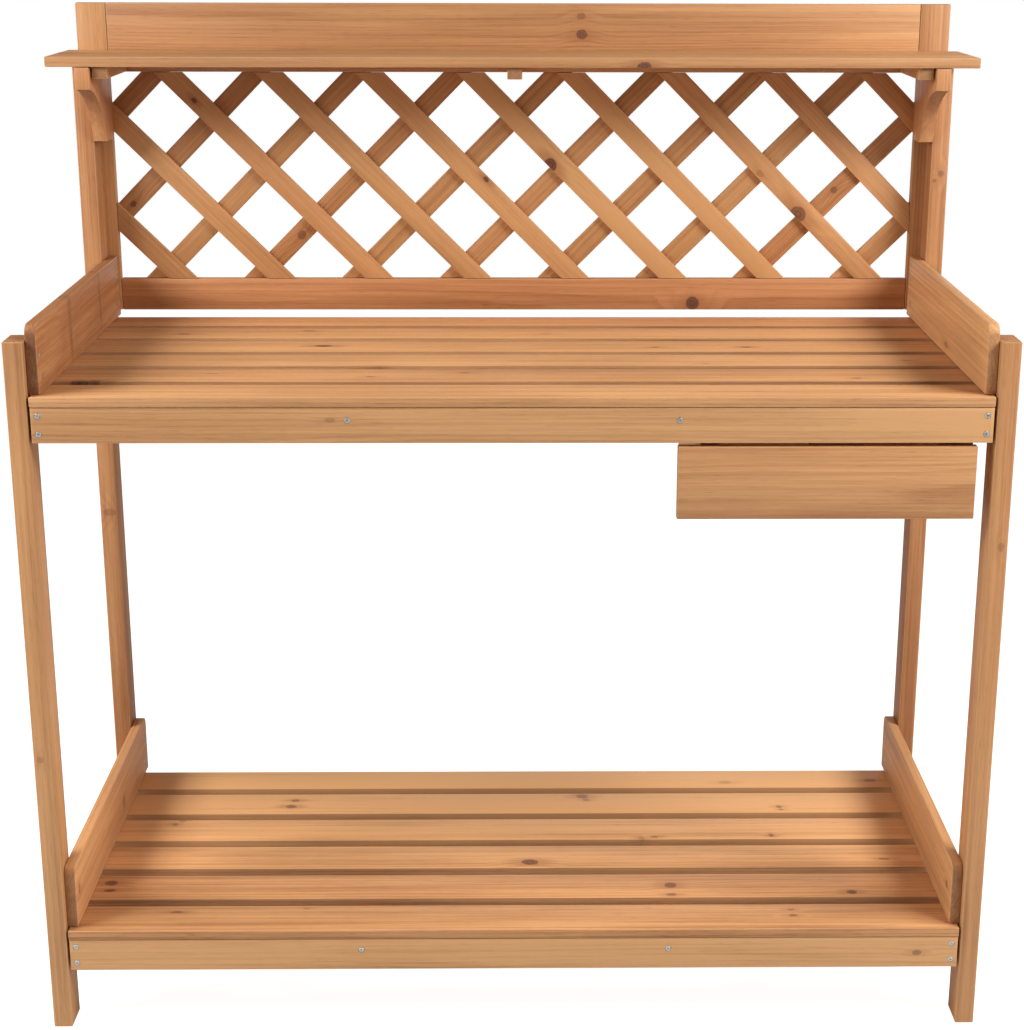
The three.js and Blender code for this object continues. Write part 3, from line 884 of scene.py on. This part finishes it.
# How light and how red each lattice slat is, from left to right.
FRONT_LATHS = (
    (0.3, 0.5), (0.4, 0.5), (0.36, 0.6), (0.46, 0.4), (0.55, 0.45),
    (0.85, 0.3), (0.9, 0.4), (0.62, 0.5), (0.6, 0.6), (0.3, 0.6),
)
BACK_LATHS = (
    (0.22, 0.5), (0.16, 0.6), (0.28, 0.4), (0.2, 0.6), (0.28, 0.4),
    (0.24, 0.5), (0.3, 0.4), (0.34, 0.4), (0.2, 0.7), (0.35, 0.5),
)
STAPLE_CROWN, STAPLE_WIRE, STAPLE_LEG = 9 * MM, 0.35 * MM, 5 * MM


def bend_staple():
    """A wire staple lying along X, its two legs bent forwards into the wood."""
    staple = rod("staple_pattern", STAPLE_WIRE, STAPLE_CROWN, (0, 0, 0), X, sides=8)
    for side in (-1, 1):
        start_edit(staple, "FACE", lambda face: face.normal.x * side > 0.9)
        for step in ((side * STAPLE_WIRE, -STAPLE_WIRE, 0), (0, -STAPLE_LEG, 0)):
            bpy.ops.mesh.extrude_region_move(TRANSFORM_OT_translate={"value": step})
        leave_edit()
    return staple


def staple_crossings(centre_z, back):
    """Two slats that lean opposite ways cross wherever their numbers differ by an even step; each
    crossing inside the frame is stapled from behind."""
    low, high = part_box("lattice")
    pattern = bend_staple()
    staples = []
    for i in range(1 - LATH_COUNT, LATH_COUNT):
        for j in range(-4, 5):
            x, z = i * LATH_PERIOD / 2, centre_z + j * LATH_PERIOD / 2
            crossing = (i + j) % 2 == 1
            inside = low.x + 0.02 < x < high.x - 0.02 and low.z + 0.01 < z < high.z - 0.01
            if crossing and inside:
                staple = pattern.copy()
                staple.data = pattern.data.copy()
                bpy.context.scene.collection.objects.link(staple)
                staple.rotation_euler = (0, math.radians(45 + chance.uniform(-14, 14)), 0)
                staple.location = (x + chance.uniform(-3, 3) * MM, back, z + chance.uniform(-3, 3) * MM)
                settle(staple)
                staples.append(staple)
    bpy.data.objects.remove(pattern, do_unlink=True)
    finish(join_pieces(staples, "lattice_staples"), "bench", "screw_steel", ZINC)


def make_lattice():
    low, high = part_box("lattice")
    for layer, lean, front, looks, material in (
        ("front", -1, low.y + SKIN, FRONT_LATHS, LATH_WOOD),
        ("back", 1, high.y - SKIN - LATH_THICK + 0.15 * MM, BACK_LATHS, BACK_LATH_WOOD),
    ):
        for i, (tone, warmth) in enumerate(looks):
            x = (i - LATH_COUNT / 2 + 0.5) * LATH_PERIOD
            name = f"lattice_{layer}_slat_{i + 1}"
            make_lath(name, x, front, lean, material, tone, warmth)
    staple_crossings((low.z + high.z) / 2 + LATTICE_RISE, high.y - SKIN - STAPLE_WIRE)


BACK_SCREW_HEIGHTS, BACK_SCREW_SUNK = (812, 967, 1085), 0.3 * MM


def make_back():
    for side in ("left", "right"):
        plain_board(f"back_stile_{side}", "bench", "leg_wood", LEG_WOOD, Z, X)
    plain_board("back_top_board", "bench", "rail_wood", RAIL_WOOD, X, Z, pith=(-0.045, 0.05))
    plain_board("back_bottom_rail", "bench", "rail_wood", RAIL_WOOD, X, Z, pith=(0.02, 0.08))
    make_lattice()
    stile_low, stile_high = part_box("back_stile_left")
    places = []
    for sign in (-1, 1):
        x = sign * abs(stile_low.x + stile_high.x) / 2
        places += [Vector((x, stile_high.y - BACK_SCREW_SUNK, z * MM)) for z in BACK_SCREW_HEIGHTS]
    drive_row("back_panel_screws", "bench", places, Y)


COVE_RADIUS, NOSE_HIGH, FOOT_FRONT = 109 * MM, 27 * MM, 436


def make_bracket(side):
    """A bracket under the shelf: a block with a cove cut out of it from nose to foot."""
    node = f"shelf_bracket_{side}"
    low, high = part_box(node)
    piece = sawn(node)
    nose = Vector((low.x, low.y, high.z - NOSE_HIGH))
    foot = Vector((low.x, at(0, FOOT_FRONT, 0)[1], low.z))
    chord = foot - nose
    along = chord.normalized()
    out = Vector((0, along.z, -along.y))
    reach = math.sqrt(COVE_RADIUS ** 2 - (chord.length / 2) ** 2)
    centre = (nose + foot) / 2 + out * reach
    centre.x = (low.x + high.x) / 2
    carve(piece, rod("cove", COVE_RADIUS, 3 * (high.x - low.x), centre, X, sides=160))
    ease_edges(piece, 0.8 * MM)
    mark_grain(piece, Z, Y, **look_of(node))
    finish(piece, "bench", "rail_wood", LEG_WOOD, node)


CLEAT_SCREW_SHARES = (0.12, 0.48, 0.86)  # how far along a cleat its screws are


def make_shelf():
    for node in ("shelf_front_board", "shelf_back_board"):
        plain_board(node, "bench", "slat_wood", SHELF_WOOD, X, Y, ease=1.3 * MM, edges=SHELF_NOSE_DARK)
    screws = []
    for where in ("left", "middle", "right"):
        node = f"shelf_cleat_{where}"
        low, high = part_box(node)
        places = [
            Vector(((low.x + high.x) / 2, low.y + share * (high.y - low.y), low.z + SKIN))
            for share in CLEAT_SCREW_SHARES
        ]
        plain_board(node, "bench", "rail_wood", RAIL_WOOD, Y, X, holes=places, facing=Z)
        screws += places
        if where != "middle":
            make_bracket(where)
    drive_row("shelf_cleat_screws", "bench", screws, -Z, SHORT_SCREW)


LEDGE_WIDE, LEDGE_THICK = 17 * MM, 12 * MM


def make_runner(side):
    """A rebated runner: the drawer slides on its ledge and against its web."""
    node = f"drawer_runner_{side}"
    piece = sawn(node)
    low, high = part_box(node)
    margin = Vector((MM, MM, MM))
    rebate_low = Vector((low.x, low.y, low.z + LEDGE_THICK)) - margin + Z * margin.z
    rebate_high = high + margin
    if side == "left":
        rebate_low.x = high.x - LEDGE_WIDE
    else:
        rebate_high.x = low.x + LEDGE_WIDE
    carve(piece, block("rebate", rebate_low, rebate_high))
    ease_edges(piece, 0.8 * MM)
    mark_grain(piece, Y, Z, **look_of(node))
    finish(piece, "bench", "rail_wood", SIDE_WOOD, node)


NAIL_INSET, NAIL_SHARES = 5 * MM, (0.25, 0.75)  # in from a side's ends, and how far up it


def make_drawer():
    plain_board("drawer_front", "drawer", "drawer_wood", DRAWER_WOOD, X, Z, ease=1.2 * MM, pith=(0.01, 0.06))
    low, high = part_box("drawer_side_left")
    nails = [
        (y, low.z + share * (high.z - low.z))
        for y in (low.y + NAIL_INSET, high.y - NAIL_INSET) for share in NAIL_SHARES
    ]
    for side, sign in (("left", -1), ("right", 1)):
        node = f"drawer_side_{side}"
        plain_board(node, "drawer", "drawer_wood", SIDE_WOOD, Y, Z)
        box_low, box_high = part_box(node)
        face = (box_low.x if sign < 0 else box_high.x) - sign * SKIN
        heads = [nail(f"nail_{side}_{i}", (face, y, z), X * sign) for i, (y, z) in enumerate(nails)]
        finish(join_pieces(heads, f"{node}_nails"), "drawer", "screw_steel", ZINC)
    plain_board("drawer_back", "drawer", "drawer_wood", RAIL_WOOD, X, Z)
    plain_board("drawer_floor", "drawer", "drawer_wood", LOWER_WOOD, X, Y, ease=0.6 * MM)
    plain_board("drawer_stop", "bench", "rail_wood", RAIL_WOOD, X, Z)
    for side in ("left", "right"):
        make_runner(side)


NAIL_HEAD, NAIL_HEAD_THICK, NAIL_SHANK, NAIL_LENGTH = 1.3 * MM, 0.5 * MM, 0.7 * MM, 22 * MM
BRADS_ACROSS, BRADS_BACK = (-496, 168), 5


def nail(name, place, facing):
    """A thin brad driven flush, its shank drawn out of the head."""
    head = rod(name, NAIL_HEAD, NAIL_HEAD_THICK, Vector(place), facing, sides=12)
    start_edit(head, "FACE", lambda face: face.normal.dot(facing) < -0.9)
    squeeze = NAIL_SHANK / NAIL_HEAD
    bpy.ops.mesh.extrude_region_move(TRANSFORM_OT_translate={"value": (0, 0, 0)})
    bpy.ops.transform.resize(value=(squeeze, squeeze, squeeze), center_override=place)
    bpy.ops.mesh.extrude_region_move(TRANSFORM_OT_translate={"value": tuple(-facing * NAIL_LENGTH)})
    leave_edit()
    return head


def make_slat_brads():
    """Two bright brads in the front slat of the worktop."""
    _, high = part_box("worktop_slat_1")
    places = [(x * MM, at(0, BRADS_BACK, 0)[1], high.z - SKIN) for x in BRADS_ACROSS]
    heads = [nail(f"brad_{i}", place, Z) for i, place in enumerate(places)]
    finish(join_pieces(heads, "worktop_slat_brads"), "bench", "screw_steel", ZINC)


make_legs()
make_deck("worktop", DECK_WOOD)
make_deck("lower", LOWER_WOOD)
make_back()
make_shelf()
make_drawer()
make_slat_brads()
for pattern in SCREWS.values():
    bpy.data.objects.remove(pattern, do_unlink=True)


# ------------------------------------------------------------------ floor and light
# The floor's own colour, its glow and what it throws back, and how bright the air is round the bench.
FLOOR_SEEN, FLOOR_GLOW, FLOOR_BOUNCE = 0.4, 0.92, 0.7
AROUND = 0.2
# Each light: name, place, the point it faces, width, height and power in watts.
SOFTBOXES = (
    ("left_softbox", (-1.95, -0.8, 1.76), (-0.9, -0.35, 0), 1.0, 1.0, 50),
    ("right_softbox", (1.82, -0.95, 2.0), (0.8, -0.4, 0), 1.0, 1.0, 60),
    ("left_low_fill", (-3.4, -1.0, 0.6), (0, 0, 0.4), 1.6, 0.9, 14),
    ("right_low_fill", (3.4, -1.0, 0.6), (0, 0, 0.4), 1.6, 0.9, 16),
    ("rear_fill", (0.5, 3.2, 1.0), (0, 0, 0.7), 2.0, 1.2, 8),
)

def shown_to_camera(tree, for_light, for_camera):
    """One shader for the lens and another for the light that the surface gives back."""
    mix = tree.nodes.new("ShaderNodeMixShader")
    path = tree.nodes.new("ShaderNodeLightPath")
    tree.links.new(path.outputs["Is Camera Ray"], mix.inputs["Fac"])
    tree.links.new(for_light, mix.inputs[1])
    tree.links.new(for_camera, mix.inputs[2])
    return mix.outputs[0]


def make_floor():
    """A pale sheet that looks near white but throws back only a soft light."""
    deselect_all()
    bpy.ops.mesh.primitive_plane_add(size=160, location=(0, 40, 0))
    floor = name_piece(bpy.context.object, "studio_floor")
    material = bpy.data.materials.new("pale_floor")
    material.use_nodes = True
    tree = material.node_tree
    shader = tree.nodes["Principled BSDF"]
    shader.inputs["Base Color"].default_value = (FLOOR_SEEN, FLOOR_SEEN, FLOOR_SEEN, 1)
    shader.inputs["Roughness"].default_value = 0.9
    shader.inputs["Specular IOR Level"].default_value = 0.0
    shader.inputs["Emission Color"].default_value = (1, 1, 1, 1)
    shader.inputs["Emission Strength"].default_value = FLOOR_GLOW
    bounce = tree.nodes.new("ShaderNodeBsdfDiffuse")
    bounce.inputs["Color"].default_value = (FLOOR_BOUNCE, FLOOR_BOUNCE, FLOOR_BOUNCE, 1)
    surface = shown_to_camera(tree, bounce.outputs[0], shader.outputs[0])
    tree.links.new(surface, tree.nodes["Material Output"].inputs["Surface"])
    floor.data.materials.append(material)


def softbox(name, place, towards, wide, high, power):
    data = bpy.data.lights.new(name, "AREA")
    data.shape = "RECTANGLE"
    data.size, data.size_y = wide, high
    data.energy = power
    light = bpy.data.objects.new(name, data)
    bpy.context.scene.collection.objects.link(light)
    light.location = place
    light.rotation_mode = "QUATERNION"
    light.rotation_quaternion = (Vector(place) - Vector(towards)).to_track_quat("Z", "Y")


def light_studio():
    world = bpy.data.worlds.new("studio_air")
    world.use_nodes = True
    tree = world.node_tree
    seen = tree.nodes["Background"]
    seen.inputs["Color"].default_value = (1, 1, 1, 1)
    seen.inputs["Strength"].default_value = 1.05
    around = tree.nodes.new("ShaderNodeBackground")
    around.inputs["Strength"].default_value = AROUND
    around.inputs["Color"].default_value = (1, 1, 1, 1)
    surface = shown_to_camera(tree, around.outputs[0], seen.outputs[0])
    tree.links.new(surface, tree.nodes["World Output"].inputs["Surface"])
    bpy.context.scene.world = world
    for light in SOFTBOXES:
        softbox(*light)
    bpy.context.scene.view_settings.view_transform = "Standard"


make_floor()
light_studio()
